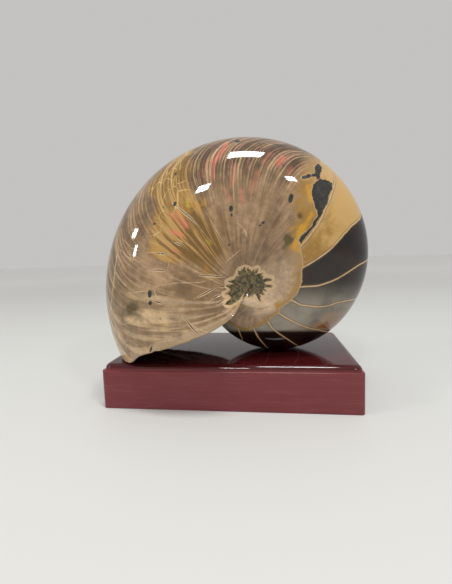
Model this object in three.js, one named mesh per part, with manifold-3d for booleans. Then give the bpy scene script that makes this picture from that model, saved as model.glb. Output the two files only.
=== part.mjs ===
// A polished fossil nautilus resting on a lacquered wooden plinth.
// Millimetres, +Z up. The origin is the middle of the plinth's underside.
// +X is to the right of the displayed side and +Y runs to the back.

import * as THREE from 'three';
import { ParametricGeometry } from 'three/addons/geometries/ParametricGeometry.js';
import { mergeVertices } from 'three/addons/utils/BufferGeometryUtils.js';
import Module from 'manifold-3d';

// Plinth: a block with a narrow ledge and a quarter round along its top edge.
const plinthWidth = 200;
const plinthDepth = 119;
const plinthHeight = 35.5;
const plinthCorner = 2.5;
const blockRound = 0.8;
const ledgeWidth = 0.8;
const mouldingRadius = 4.6;
const mouldingOverlap = 6;
const roundSteps = 5;

// Shell: a whorl whose section shrinks along a spiral, seen from the displayed side as turning
// clockwise from the mouth at the lower left.
const coilCentre = [27.9, -7.2];
const coilTurn = 0.141;
const mouthRadius = 141.4;
const mouthAngle = 3.6314;
const shrinkRate = 0.1134;
const shrinkGrowth = 0.005;
const mouthHalfWidth = 62.8;
const widthKept = 0.045;
const flatFlankRatio = 0.314;
const flankDip = 0.12;
const venterRoundness = 2.455;
const flankRoundness = 2.314;
const growthSlant = 0.111;
const growthCurve = 0.457;
const lobeReach = 0.042;
const lobePlace = 0.09;
const lobeSpread = 0.07;
const restGap = 0.3;

// Navel: the hollow in the middle of each flank, filled with stone below the flank's own height.
const navelShift = [-13.6, -7.5];
const navelShiftReach = 44;
const navelShiftDepth = 28;
const navelRadius = 13;
const navelLobe = 1.8;
const navelLobes = 5;
const navelRim = 1.08;
const navelWall = 0.9;
const navelMiddle = 0.5;
const navelHeight = 46;
const navelTilt = 0.3;
const navelHighSide = 2.5;
const navelReach = 32;
const navelRecess = 2;
const farLobeTurn = 1.3;

// Mouth: the lip's thickness and how far the stone that fills the mouth lies behind it.
const lipThickness = 3;
const mouthRecess = 0.03;
const lipFullRadius = 60;

// Mesh steps: columns along the spiral, rows across one side from the venter to the flat flank.
const spiralColumns = 72;
const sideRows = 18;
const navelRows = 6;
const navelFlankRows = 3;
const mouthColumns = 2;

const spiralEnd = 2 * Math.PI + mouthRecess;
const rowCount = 2 * (sideRows + navelRows);
const columnCount = spiralColumns + mouthColumns + 1;

const wasm = await Module();
wasm.setup();

function bareGeometry(geometry) {
  const bare = geometry.clone();
  bare.deleteAttribute('normal');
  bare.deleteAttribute('uv');
  return mergeVertices(bare, 1e-4);
}

function toSolid(geometry) {
  const bare = bareGeometry(geometry);
  return new wasm.Manifold(new wasm.Mesh({
    numProp: 3,
    vertProperties: new Float32Array(bare.attributes.position.array),
    triVerts: new Uint32Array(bare.index.array),
  }));
}

function fromSolid(solid) {
  const mesh = solid.getMesh();
  const geometry = new THREE.BufferGeometry();
  geometry.setAttribute('position', new THREE.BufferAttribute(mesh.vertProperties, 3));
  geometry.setIndex(new THREE.BufferAttribute(mesh.triVerts, 1));
  geometry.computeVertexNormals();
  return geometry;
}

// A rectangle with round corners, centred on the origin.
function roundedRectangle(width, depth, radius) {
  const x = width / 2;
  const y = depth / 2;
  const shape = new THREE.Shape();
  shape.moveTo(radius - x, -y);
  shape.absarc(x - radius, radius - y, radius, -Math.PI / 2, 0);
  shape.absarc(x - radius, y - radius, radius, 0, Math.PI / 2);
  shape.absarc(radius - x, y - radius, radius, Math.PI / 2, Math.PI);
  shape.absarc(radius - x, radius - y, radius, Math.PI, Math.PI * 1.5);
  return shape;
}

// A slab of the given outer size whose top and bottom edges are rounded.
function roundedSlab(width, depth, height, corner, edge) {
  const shape = roundedRectangle(width - 2 * edge, depth - 2 * edge, corner);
  const slab = new THREE.ExtrudeGeometry(shape, {
    depth: height - 2 * edge,
    bevelThickness: edge,
    bevelSize: edge,
    bevelSegments: roundSteps,
    curveSegments: roundSteps,
  });
  slab.translate(0, 0, edge);
  return slab;
}

function plinthGeometry() {
  const blockHeight = plinthHeight - mouldingRadius;
  const block = roundedSlab(plinthWidth, plinthDepth, blockHeight, plinthCorner, blockRound);
  const capHeight = mouldingOverlap + 2 * mouldingRadius;
  const capWidth = plinthWidth - 2 * ledgeWidth;
  const capDepth = plinthDepth - 2 * ledgeWidth;
  const cap = roundedSlab(capWidth, capDepth, capHeight, plinthCorner, mouldingRadius);
  cap.translate(0, 0, plinthHeight - capHeight);
  return fromSolid(toSolid(block).add(toSolid(cap)));
}

function whorlRadius(along) {
  return mouthRadius * Math.exp(-shrinkRate * along - shrinkGrowth * along * along);
}

// The half width shrinks less than the radius does, so the inner whorls are rounder.
function whorlHalfWidth(along) {
  const radiusShare = whorlRadius(along) / mouthRadius;
  return mouthHalfWidth * radiusShare * Math.exp(widthKept * along);
}

// Half the whorl's section, from the venter (0) to the edge of the flat flank (1),
// as a distance from the coil's axis and a half width.
function sectionPoint(along, across) {
  const turn = across * Math.PI / 2;
  const radius = whorlRadius(along);
  const reach = Math.max(Math.cos(turn), 0) ** (2 / venterRoundness);
  return {
    out: radius * (flatFlankRatio + (1 - flatFlankRatio) * reach),
    half: whorlHalfWidth(along) * Math.sin(turn) ** (2 / flankRoundness),
  };
}

// A growth line leans forward from the venter inwards, with a lobe at the shoulder, as the lip does.
function spiralDirection(along, out) {
  const inward = 1 - out / mouthRadius;
  const lobe = lobeReach * Math.exp(-(((inward - lobePlace) / lobeSpread) ** 2));
  return mouthAngle - along + growthSlant * inward + growthCurve * inward * inward + lobe;
}

function navelEdge(direction, side) {
  const phase = side > 0 ? 0 : farLobeTurn;
  return navelRadius + navelLobe * Math.cos(navelLobes * (direction + phase));
}

// The rows from the flat flank into the navel: the flank runs into a sloping plane at the navel's rim,
// and the stone that fills the navel lies a little below that plane.
function navelPoint(along, row, side) {
  const flat = whorlRadius(along) * flatFlankRatio;
  const direction = spiralDirection(along, 0);
  const edge = navelEdge(direction, side);
  const rim = edge * navelRim;
  const floors = [edge * navelWall, edge * navelMiddle, 0];
  const onFlank = row <= navelFlankRows;
  const out = onFlank ? flat + (rim - flat) * row / navelFlankRows : floors[row - navelFlankRows - 1];
  const plane = navelHeight + navelTilt * out * Math.cos(direction - navelHighSide);
  if (!onFlank) return { out, half: plane - navelRecess };
  const inward = 1 - out / flat;
  const flank = whorlHalfWidth(along) * (1 - flankDip * inward * inward);
  const share = THREE.MathUtils.smoothstep(navelReach - out, 0, navelReach - rim);
  return { out, half: THREE.MathUtils.lerp(flank, plane, share) };
}

// One point of the whorl, row by row from the far side's axis over the venter to the displayed side's.
function whorlPoint(along, row, inset, turn) {
  const side = row > rowCount / 2 ? 1 : -1;
  const fromVenter = Math.abs(row - rowCount / 2);
  const onFlank = fromVenter <= sideRows;
  const point = onFlank
    ? sectionPoint(along, fromVenter / sideRows)
    : navelPoint(along, fromVenter - sideRows, side);
  const inNavel = fromVenter > sideRows + navelFlankRows;
  const share = inNavel ? 0 : Math.min(1, point.out / lipFullRadius);
  const direction = spiralDirection(along, point.out) - turn * share;
  const heart = mouthRadius * (1 + flatFlankRatio) / 2;
  const shrink = inset * share / (mouthRadius - heart);
  const out = point.out + (heart - point.out) * shrink;
  const half = point.half * (1 - shrink);
  const near = Math.exp(-((out / navelShiftReach) ** 2)) * Math.min(1, half / navelShiftDepth);
  return [
    out * Math.cos(direction) + navelShift[0] * near,
    -side * half,
    out * Math.sin(direction) + navelShift[1] * near,
  ];
}

// The columns run along the spiral, then back across the stone in the mouth and the lip to the start.
function shellSurface(across, around, target) {
  const row = Math.round(across * rowCount);
  const column = Math.round(around * columnCount) % columnCount;
  if (column <= spiralColumns) {
    target.set(...whorlPoint(spiralEnd * column / spiralColumns, row, 0, 0));
  } else if (column === spiralColumns + 1) {
    target.set(...whorlPoint(0, row, lipThickness, mouthRecess));
  } else {
    target.set(...whorlPoint(0, row, lipThickness, 0));
  }
}

// Faces that shrank to a line where columns meet are dropped.
function withoutEmptyFaces(geometry) {
  const kept = [];
  const faces = geometry.index.array;
  for (let i = 0; i < faces.length; i += 3) {
    const [a, b, c] = faces.slice(i, i + 3);
    if (a !== b && b !== c && c !== a) kept.push(a, b, c);
  }
  geometry.setIndex(kept);
  geometry.computeVertexNormals();
  return geometry;
}

function shellGeometry() {
  const surface = new ParametricGeometry(shellSurface, rowCount, columnCount);
  return withoutEmptyFaces(bareGeometry(surface));
}

const lacquer = new THREE.MeshStandardMaterial({ color: 0x5e2422, roughness: 0.12, metalness: 0 });
const fossil = new THREE.MeshStandardMaterial({ color: 0x9c7a5b, roughness: 0.22, metalness: 0 });

const plinth = new THREE.Mesh(plinthGeometry(), lacquer);
plinth.name = 'plinth';

const shell = new THREE.Mesh(shellGeometry(), fossil);
shell.name = 'shell';
shell.geometry.computeBoundingBox();

const coil = new THREE.Group();
coil.rotation.z = coilTurn;
coil.position.set(...coilCentre, plinthHeight + restGap - shell.geometry.boundingBox.min.z);
coil.add(shell);

const object = new THREE.Group();
object.add(plinth, coil);

export default object;
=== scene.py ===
import math

import bpy
import numpy as np
from mathutils import Matrix, Vector


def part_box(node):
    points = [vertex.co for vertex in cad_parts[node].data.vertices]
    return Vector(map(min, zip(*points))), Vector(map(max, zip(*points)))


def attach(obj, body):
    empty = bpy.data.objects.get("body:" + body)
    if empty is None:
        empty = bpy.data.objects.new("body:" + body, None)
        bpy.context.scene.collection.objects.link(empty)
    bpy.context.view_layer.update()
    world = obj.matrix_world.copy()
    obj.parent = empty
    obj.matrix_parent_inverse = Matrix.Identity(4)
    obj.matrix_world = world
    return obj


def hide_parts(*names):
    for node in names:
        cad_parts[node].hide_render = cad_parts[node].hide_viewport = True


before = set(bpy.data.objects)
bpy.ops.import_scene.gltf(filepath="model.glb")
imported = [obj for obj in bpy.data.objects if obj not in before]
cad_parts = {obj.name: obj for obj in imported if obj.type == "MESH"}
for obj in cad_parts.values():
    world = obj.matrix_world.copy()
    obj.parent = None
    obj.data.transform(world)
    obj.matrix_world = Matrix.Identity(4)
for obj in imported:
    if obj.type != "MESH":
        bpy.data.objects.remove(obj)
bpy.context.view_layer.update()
bpy.ops.object.select_all(action="DESELECT")
print("frame loaded")


# the camera that took the picture, in mm and degrees, its focal length and middle in pixels
view = {
    "place": (35.94, -298.83, 114.03),
    "yaw": -8.08,
    "pitch": 5.26,
    "roll": 2.03,
    "focal": 332.3,
    "middle": (226.0, 291.0),
    "image": (452, 584),
    "sensor": 36.0,
}


def viewAxes():
    yaw, pitch, roll = (math.radians(view[name]) for name in ("yaw", "pitch", "roll"))
    ahead = np.array([math.sin(yaw) * math.cos(pitch), math.cos(yaw) * math.cos(pitch), -math.sin(pitch)])
    level = np.array([math.cos(yaw), -math.sin(yaw), 0.0])
    under = np.cross(ahead, level)
    right = math.cos(roll) * level + math.sin(roll) * under
    down = math.cos(roll) * under - math.sin(roll) * level
    return right, down, ahead


def photoPlace(points):  # mm to pixels
    right, down, ahead = viewAxes()
    fromEye = points - np.array(view["place"])
    depth = fromEye @ ahead
    across = view["middle"][0] + view["focal"] * (fromEye @ right) / depth
    below = view["middle"][1] + view["focal"] * (fromEye @ down) / depth
    return np.stack([across, below], -1)


def placeCamera():
    right, down, ahead = viewAxes()
    bpy.ops.object.camera_add()
    camera = bpy.context.object
    camera.name = "photoCamera"
    turned = Matrix((Vector(right), Vector(-down), Vector(-ahead))).transposed().to_4x4()
    camera.matrix_world = Matrix.Translation(Vector(view["place"]) / 1000) @ turned
    longSide = max(view["image"])
    camera.data.sensor_width = view["sensor"]
    camera.data.lens = view["focal"] / longSide * view["sensor"]
    camera.data.shift_y = (view["middle"][1] - view["image"][1] / 2) / longSide
    camera.data.clip_start = 0.01
    bpy.context.scene.camera = camera


placeCamera()
print("camera placed")


# node helpers: a value is either a socket to link or a constant to set
def addNode(tree, kind, **settings):
    made = tree.nodes.new(kind)
    for name, value in settings.items():
        setattr(made, name, value)
    return made


def feed(tree, socket, value):
    if isinstance(value, bpy.types.NodeSocket):
        tree.links.new(value, socket)
    elif isinstance(value, (tuple, list)) and socket.type == "RGBA" and len(value) == 3:
        socket.default_value = (*value, 1.0)
    else:
        socket.default_value = value


def sums(tree, operation, first, second=0.0):
    made = addNode(tree, "ShaderNodeMath", operation=operation)
    feed(tree, made.inputs[0], first)
    feed(tree, made.inputs[1], second)
    return made.outputs[0]


def times(tree, first, second):
    return sums(tree, "MULTIPLY", first, second)


def fade(tree, value, low, high, lowValue=0.0, highValue=1.0):
    made = addNode(tree, "ShaderNodeMapRange", interpolation_type="SMOOTHSTEP")
    for socket, given in zip(made.inputs, (value, low, high, lowValue, highValue)):
        feed(tree, socket, given)
    return made.outputs[0]


def blendColour(tree, share, first, second, how="MIX"):
    made = addNode(tree, "ShaderNodeMix", data_type="RGBA", blend_type=how)
    feed(tree, made.inputs["Factor"], share)
    feed(tree, made.inputs[6], first)
    feed(tree, made.inputs[7], second)
    return made.outputs[2]


def blendValue(tree, share, first, second):
    made = addNode(tree, "ShaderNodeMix", data_type="FLOAT")
    feed(tree, made.inputs["Factor"], share)
    feed(tree, made.inputs[2], first)
    feed(tree, made.inputs[3], second)
    return made.outputs[0]


def readField(tree, name):
    return addNode(tree, "ShaderNodeAttribute", attribute_name=name).outputs["Fac"]


def joinAxes(tree, x, y, z=0.0):
    made = addNode(tree, "ShaderNodeCombineXYZ")
    for socket, value in zip(made.inputs, (x, y, z)):
        feed(tree, socket, value)
    return made.outputs[0]


def grainNoise(tree, where, scale, detail=3.0, rough=0.55, warp=0.0):
    made = addNode(tree, "ShaderNodeTexNoise")
    feed(tree, made.inputs["Vector"], where)
    made.inputs["Scale"].default_value = scale
    made.inputs["Detail"].default_value = detail
    made.inputs["Roughness"].default_value = rough
    made.inputs["Distortion"].default_value = warp
    return made.outputs["Fac"]


def cellEdges(tree, where, scale):
    made = addNode(tree, "ShaderNodeTexVoronoi", feature="DISTANCE_TO_EDGE")
    feed(tree, made.inputs["Vector"], where)
    made.inputs["Scale"].default_value = scale
    return made.outputs["Distance"]


def startMaterial(name):
    material = bpy.data.materials.new(name)
    material.use_nodes = True
    tree = material.node_tree
    where = addNode(tree, "ShaderNodeTexCoord").outputs["Object"]
    return material, tree, tree.nodes["Principled BSDF"], where


def addBump(tree, shader, height, strength, distance):
    bump = addNode(tree, "ShaderNodeBump")
    bump.inputs["Strength"].default_value = strength
    bump.inputs["Distance"].default_value = distance
    feed(tree, bump.inputs["Height"], height)
    feed(tree, shader.inputs["Normal"], bump.outputs[0])


# the coil, with the same values as the solid: mm and radians
shellForm = {
    "coilCentre": (27.9, -7.2),
    "coilTurn": 0.141,
    "mouthRadius": 141.4,
    "mouthAngle": 3.6314,
    "shrinkRate": 0.1134,
    "shrinkGrowth": 0.005,
    "mouthHalfWidth": 62.8,
    "widthKept": 0.045,
    "flatFlankRatio": 0.314,
    "flankDip": 0.12,
    "venterRoundness": 2.455,
    "flankRoundness": 2.314,
    "growthSlant": 0.111,
    "growthCurve": 0.457,
    "lobeReach": 0.042,
    "lobePlace": 0.09,
    "lobeSpread": 0.07,
    "navelShift": (-13.6, -7.5),
    "navelShiftReach": 44.0,
    "navelShiftDepth": 28.0,
    "navelRadius": 14.0,
    "navelHeight": 46.0,
    "navelTilt": 0.3,
    "navelHighSide": 2.5,
    "navelReach": 32.0,
    "lipThickness": 3.0,
    "lipRound": 0.011,  # how far back the lip's rounding starts
    "lipWear": 0.008,
    "wearStretch": 90.0,  # the worn places' wave along the lip
    "wearOffset": 3.1,
    "wearSize": 2.6,
    "wearAcross": (0.24, 0.34),
    "wearFade": 0.04,
    "mouthRecess": 0.03,
    "lipFullRadius": 60.0,
    "spiralColumns": 376,
    "columnEase": 0.25,  # columns are closer together near the lip
    "stoneColumns": 14,
    "wallColumns": 3,
    "rimColumns": 5,
    "sectionRows": 84,
    "flankRows": 20,
    "navelRows": 12,
    "flankStart": 0.75,  # across runs from 0 at the venter, past these two, to 1 at the axis
    "navelStart": 0.95,
}


def smoothStep(value, low, high):
    share = np.clip((value - low) / (high - low), 0, 1)
    return share * share * (3 - 2 * share)


def plainWaves(points, size, seed, count=7):  # soft noise from -1 to 1 with bumps of about this size
    dice = np.random.default_rng(seed)
    total = np.zeros(points.shape[:-1])
    for _ in range(count):
        heading = dice.normal(size=points.shape[-1])
        heading *= dice.uniform(0.6, 1.5) * math.pi / (size * np.linalg.norm(heading))
        total += np.sin(points @ heading + dice.uniform(0, 2 * math.pi))
    return total / math.sqrt(count * 2)


def whorlRadius(along):
    form = shellForm
    return form["mouthRadius"] * np.exp(-form["shrinkRate"] * along - form["shrinkGrowth"] * along ** 2)


def whorlHalfWidth(along):
    share = whorlRadius(along) / shellForm["mouthRadius"]
    return shellForm["mouthHalfWidth"] * share * np.exp(shellForm["widthKept"] * along)


def growthDirection(along, out):
    form = shellForm
    inward = 1 - out / form["mouthRadius"]
    lobe = form["lobeReach"] * np.exp(-((inward - form["lobePlace"]) / form["lobeSpread"]) ** 2)
    lean = form["growthSlant"] * inward + form["growthCurve"] * inward ** 2
    return form["mouthAngle"] - along + lean + lobe


def whorlSection(along, across):  # distance from the axis and half width
    form = shellForm
    radius = whorlRadius(along)
    halfWidth = whorlHalfWidth(along)
    turn = np.clip(across / form["flankStart"], 0, 1) * math.pi / 2
    reach = np.maximum(np.cos(turn), 0) ** (2 / form["venterRoundness"])
    out = radius * (form["flatFlankRatio"] + (1 - form["flatFlankRatio"]) * reach)
    half = halfWidth * np.sin(turn) ** (2 / form["flankRoundness"])
    flat = radius * form["flatFlankRatio"]
    inFlank = np.clip((across - form["flankStart"]) / (form["navelStart"] - form["flankStart"]), 0, 1)
    inNavel = np.clip((across - form["navelStart"]) / (1 - form["navelStart"]), 0, 1)
    innerOut = (flat + (form["navelRadius"] - flat) * inFlank) * (1 - inNavel)
    heading = growthDirection(along, np.zeros_like(along))
    plane = form["navelHeight"] + form["navelTilt"] * innerOut * np.cos(heading - form["navelHighSide"])
    flank = halfWidth * (1 - form["flankDip"] * (1 - np.minimum(innerOut / flat, 1)) ** 2)
    dip = smoothStep(form["navelReach"] - innerOut, 0, form["navelReach"] - form["navelRadius"])
    innerHalf = flank + (plane - flank) * dip
    inner = across > form["flankStart"]
    return np.where(inner, innerOut, out), np.where(inner, innerHalf, half)


def lipShare(out):
    form = shellForm
    return np.clip((out - form["navelRadius"]) / (form["lipFullRadius"] - form["navelRadius"]), 0, 1)


def coilPlace(along, across, side, inset=0.0, turn=0.0):  # mm, before the coil is lifted onto the plinth
    form = shellForm
    out, half = whorlSection(along, across)
    share = lipShare(out)
    heading = growthDirection(along, out) - turn * share
    heart = form["mouthRadius"] * (1 + form["flatFlankRatio"]) / 2
    shrink = inset * share / (form["mouthRadius"] - heart)
    out = out + (heart - out) * shrink
    half = half * (1 - shrink)
    near = np.exp(-(out / form["navelShiftReach"]) ** 2) * np.minimum(1, half / form["navelShiftDepth"])
    x = out * np.cos(heading) + form["navelShift"][0] * near
    y = -side * half
    z = out * np.sin(heading) + form["navelShift"][1] * near
    cosTurn, sinTurn = math.cos(form["coilTurn"]), math.sin(form["coilTurn"])
    centreX, centreY = form["coilCentre"]
    return np.stack([centreX + x * cosTurn - y * sinTurn, centreY + x * sinTurn + y * cosTurn, z], -1)


def rowAcross(step):  # step counts rows from the venter
    form = shellForm
    ends = np.cumsum([0, form["sectionRows"], form["flankRows"], form["navelRows"]])
    return np.interp(step, ends, [0.0, form["flankStart"], form["navelStart"], 1.0])


# marks read off the picture, as pixels of the 452 x 584 image
marks = {
    "sutures": (
        ((335, 182), (332, 193), (325, 209), (318, 225), (314, 230), (301, 246)),
        ((360, 219), (352, 226), (344, 234), (333, 247), (320, 257), (303, 267.5)),
        ((368, 260), (358, 266), (346, 274), (335, 280), (318, 286), (301, 287)),
        ((358, 298), (347, 301), (337, 303), (326, 306), (316, 307), (300, 305), (289, 299)),
        ((331, 331), (320, 330), (312, 329), (302, 326), (293, 322), (278, 312.5)),
        ((298.5, 347), (290, 341), (281, 335), (272, 328), (267, 320)),
        ((269, 349), (263, 343), (258, 337), (253.5, 328)),
        ((242, 339), (238, 328)),
    ),
    "skinEdge": (
        (313, 180), (316, 197), (318, 213), (308, 229), (298.5, 240), (301, 251), (302, 274), (300, 289),
        (285, 305), (280, 308), (278.6, 313), (270, 318), (253, 328), (245, 331), (237.6, 328),
        (231, 324),
    ),
    "tarPatch": (
        (317, 180), (320.4, 179.4), (325, 179.7), (330, 181), (332.3, 182.7), (331.2, 186),
        (331.7, 188.4), (330.7, 194), (329, 197.6), (326, 205), (324, 210), (322, 215.5), (319.8, 219.3),
        (312, 231), (306.5, 237), (301.5, 243.5), (299, 240), (303, 235), (308, 229.5), (312.2, 225),
        (313.8, 220), (317, 216.5), (318.2, 211), (315.5, 207), (314.4, 201.4), (312.2, 197),
        (311.4, 192.7), (313.3, 188.4), (313.3, 183),
    ),
    "tarBlob": (
        (314.4, 166.7), (318, 163), (322, 166.7), (322.5, 169.4), (320.4, 173), (320, 177.5),
        (317, 179.7), (316, 176.5), (308, 177.8), (303, 179.2), (301, 178.2), (302, 176.3), (308, 174.6),
        (314.5, 173),
    ),
    "navelStone": (
        (236.5, 276), (240.8, 270), (245.3, 267.5), (249.8, 270), (253.5, 271.2), (256.5, 268.8),
        (259, 274.2), (263.2, 273.6), (265, 277.9), (271.5, 278.4), (267.4, 284.5), (272.8, 285.4),
        (268.5, 288), (265.3, 293), (262.5, 298), (259.7, 300.3), (255.3, 295.2), (247.4, 296),
        (241.4, 297.8), (236, 301), (229.5, 305), (226, 303.5), (231.5, 297.5), (225, 294), (231, 290),
        (227, 285.5), (236, 283.9), (228, 282.2), (234.5, 279.5),
    ),
    "amberStain": (
        (156, 205), (151, 236), (149, 252), (163, 262), (185, 262), (205, 270), (232, 268), (238, 250),
        (222, 225), (205, 205), (190, 185), (196, 160), (190, 148), (176, 150), (158, 170), (148, 190),
    ),
    "goldStain": (
        (299, 184), (293, 198), (295, 220), (289, 233), (286, 250), (296, 248), (303, 240), (314, 227),
        (320, 213), (314, 197), (314, 181), (322, 168), (310, 160), (303, 172),
    ),
    "pits": (  # middle, half width, half height, turn in degrees
        (291, 199, 2.4, 4.6, 8), (231, 209, 2.3, 3.2, 0), (231.5, 214.5, 1.2, 2.6, 0),
        (262, 223.7, 1.3, 4.0, 55), (229, 245, 1.1, 1.0, 0), (237, 141, 3.0, 1.4, 10),
        (175, 174, 1.3, 2.0, 30), (163, 207, 1.2, 1.1, 0), (154, 224, 1.3, 1.1, 0),
        (174.6, 204, 1.6, 3.2, 25), (149.5, 294, 1.8, 3.6, 0), (150, 303.5, 2.0, 2.4, 0),
        (160, 319, 1.2, 1.0, 0), (151, 349, 1.1, 3.0, 20), (132, 351, 0.9, 0.9, 0),
        (283, 165, 1.6, 0.9, 40), (279, 212, 0.7, 0.9, 0),
    ),
    "slits": (
        ((176, 206), (182, 211), (190, 217.5), (197.5, 225)),
        ((174.6, 242.5), (178, 243.5), (181.5, 246)), ((152, 270.8), (158, 270), (166, 270.6)),
        ((156, 253), (161, 253.6), (167, 254.4)), ((154, 301), (158, 302.6), (163, 303.6)),
        ((183.5, 316), (187.5, 322), (193, 329), (199.5, 335)), ((196, 298), (203, 294.5), (215, 288)),
        ((218, 287.4), (226, 286), (234, 285.2)), ((211, 300), (216, 296.4), (222, 294)),
        ((216, 305), (221, 301.6), (226, 299)), ((199, 275.5), (212, 276), (224, 277)),
    ),
    "veins": (
        ((146, 291), (137, 292), (128, 293)),
        ((152, 288), (160, 285.4), (175, 283), (199, 282.5), (214, 279)),
        ((119, 245), (115, 268), (112.5, 293), (109.4, 317)), ((119, 248), (126, 256), (136, 261)),
        ((124, 240), (131, 248), (141, 251)), ((148, 252.6), (156, 252.4)),
        ((167, 255), (172, 257), (169, 262), (167.6, 269)), ((148, 271), (152, 271)),
        ((197.5, 225), (206, 236), (216, 246)), ((153, 288), (156, 296), (163, 302)),
        ((147, 297), (149, 307), (152, 309)), ((259, 306), (248, 307.5), (240, 313), (233, 320)),
        ((136, 316), (131, 322), (122, 325)), ((232, 160), (234, 172), (233, 184), (234, 200)),
        ((238, 223), (245, 230), (247, 236), (243, 232)), ((160, 232), (152, 236)),
        ((206, 212), (222, 240)), ((226, 262), (240, 250)), ((186, 321), (198, 329), (210, 333)),
        ((176, 238), (190, 246)),
    ),
    "blushes": (  # two ends, half width, strength
        ((227, 144), (213, 163), 2.0, 0.8), ((213, 163), (213, 178), 1.7, 0.8),
        ((283, 158), (278, 164), 2.4, 0.9), ((291, 168), (287, 173), 2.2, 0.6),
        ((270, 153), (262, 162), 1.6, 0.5), ((257, 172), (251, 192), 2.2, 0.5),
        ((236, 166), (231, 186), 1.6, 0.45), ((205, 160), (203, 176), 1.5, 0.4),
        ((222, 186), (231, 200), 1.5, 0.45), ((241, 190), (243, 202), 1.6, 0.5),
        ((174, 214), (185, 226), 3.2, 0.95), ((172, 232), (182, 235), 2.2, 0.75),
        ((174, 250), (179, 252), 1.6, 0.5),
    ),
    "flecks": (((187, 201), (188.5, 206), 1.8, 0.9), ((207, 241), (210, 243), 1.6, 0.6)),
    "oliveSpots": (  # middle, radius, strength
        (287, 238, 6.5, 1.0), (284, 246, 5.0, 0.7), (301, 216, 5.0, 0.6), (133, 309, 7.5, 0.75),
        (240, 262, 8.0, 0.35), (292, 221, 5.0, 0.4),
    ),
    "brightSpots": (
        ((303, 226), (297, 243), 4.2, 1.0), ((312, 214), (303, 228), 3.0, 0.8),
        ((308, 186), (311, 200), 3.5, 0.6), ((289, 230), (296, 226), 3.0, 0.7),
        ((293, 247), (299, 250), 3.0, 0.6),
    ),
    "rustChip": ((315, 327.5), (321, 325.5), (328, 320.6), (329.5, 325), (331, 329)),
    "rustHalo": ((305, 328), (318, 322), (325, 313), (345, 311), (338, 326), (331, 331)),
}

# where the marks lie, along and across the coil or in pixels, and how deep they are cut, mm
markForm = {
    "farTurn": 0.3,  # the far side's marks lie this much further along
    "farTurnAcross": (0.1, 0.45),
    "farShift": (13.0, -9.0),  # and its small marks this many pixels off
    "farTarMiddle": (318.0, 200.0),
    "farTarScale": 1.7,
    "facingFade": (0.1, 0.3),  # pixel marks stop short of the outline
    "nearRows": 4,  # rows by the venter that the displayed side does not show
    "venterSinus": 0.5,  # growth lines bend back over the venter
    "sinusSpread": 0.28,
    "sutureSweep": 0.552,
    "sutureBend": 2.075,
    "sutureReach": 0.7,
    "sutureInner": 0.78,
    "chamberBefore": 0.45,  # how far along the chambers past the first and last lines reach
    "chamberAfter": 0.38,
    "chamberPlain": 0.43,
    "lastChamber": 10.0,
    "skinEdgeVenter": ((2.52, -0.4), (2.6, 0.12), (2.655, 0.36)),  # the edge's unseen run over the venter
    "skinEdgeInner": ((6.25, 0.43), (6.9, 0.4), (7.2, -0.4)),
    "flatAlong": 100.0,
    "flatAcross": 200.0,
    "amberEdge": (2.5, 13.5),  # pixels, crisp at the left and soft at the right
    "amberEdgeSpan": (160.0, 215.0),
    "lineReach": 5.0,
    "pitReach": 6.0,
    # painted reflection: a grey band on the lower bare chambers over these pixel rows, standing in for the
    # pale table mirrored in the polish
    "tableReflectionFrom": (278.0, 312.0),  # pixel rows
    "tableReflectionTo": (329.0, 333.0),
    "tableReflectionAcross": (0.74, 0.9),
    "tableReflectionChamber": (1.7, 2.2),
    "lipReach": 60.0,
    "skinStep": 0.25,
    "navelRecess": 1.5,
    "navelBumps": 0.5,
    "pitDepth": 0.5,
    "slitDepth": 0.3,
    "tarDepth": 0.3,
    "tarBumps": 0.12,
    "foldHeight": 0.16,
    "foldSpacing": 0.085,
    "foldSway": 1.5,
    "handWaves": 0.05,  # the polish is never quite even
    "stoneBumps": 0.9,
}

# sizes of the soft waves in the relief, mm
waveSizes = {
    "navel": 3.2,
    "navelFine": 1.4,
    "tar": 1.8,
    "folds": 45.0,
    "polish": 26.0,
    "stone": 7.0,
    "stoneFine": 3.0,
}

# zones of the skin: where each fades in and out along the coil, and across the whorl
skinZones = {
    "overTop": {"start": (1.0, 1.5), "end": (2.45, 2.75), "inner": (0.42, 0.68)},
    "atLeft": {"start": (0.2, 0.5), "end": (1.1, 1.6), "inner": (0.36, 0.58), "most": 0.55},
    "folds": {"end": (0.3, 0.75), "inner": (0.55, 0.8)},
    "pleats": {"end": (0.9, 1.6), "outer": (0.55, 0.75)},
    "tanFrom": {"start": (2.9, 3.8), "outer": (0.66, 0.76), "most": 0.45},
    "tanMore": {"start": (4.4, 5.2), "outer": (0.66, 0.76), "most": 0.5},
}


def zoneShare(name, along, across):
    zone = dict(skinZones[name])
    share = np.full_like(along, zone.pop("most", 1.0))
    for edge, span in zone.items():
        risen = smoothStep(along if edge in ("start", "end") else across, *span)
        share = share * (risen if edge in ("start", "outer") else 1 - risen)
    return share


def insideDepth(points, corners):  # distance to the outline, positive inside
    corners = np.array(corners, float)
    nearest = np.full(len(points), 1e9)
    inside = np.zeros(len(points), bool)
    for start, end in zip(corners, np.roll(corners, -1, 0)):
        edge = end - start
        along = np.clip(((points - start) @ edge) / (edge @ edge), 0, 1)
        nearest = np.minimum(nearest, np.linalg.norm(points - start - along[:, None] * edge, axis=1))
        crosses = (start[1] > points[:, 1]) != (end[1] > points[:, 1])
        if start[1] != end[1]:
            crossing = start[0] + (points[:, 1] - start[1]) * edge[0] / edge[1]
            inside ^= crosses & (points[:, 0] < crossing)
    return np.where(inside, nearest, -nearest)


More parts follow.
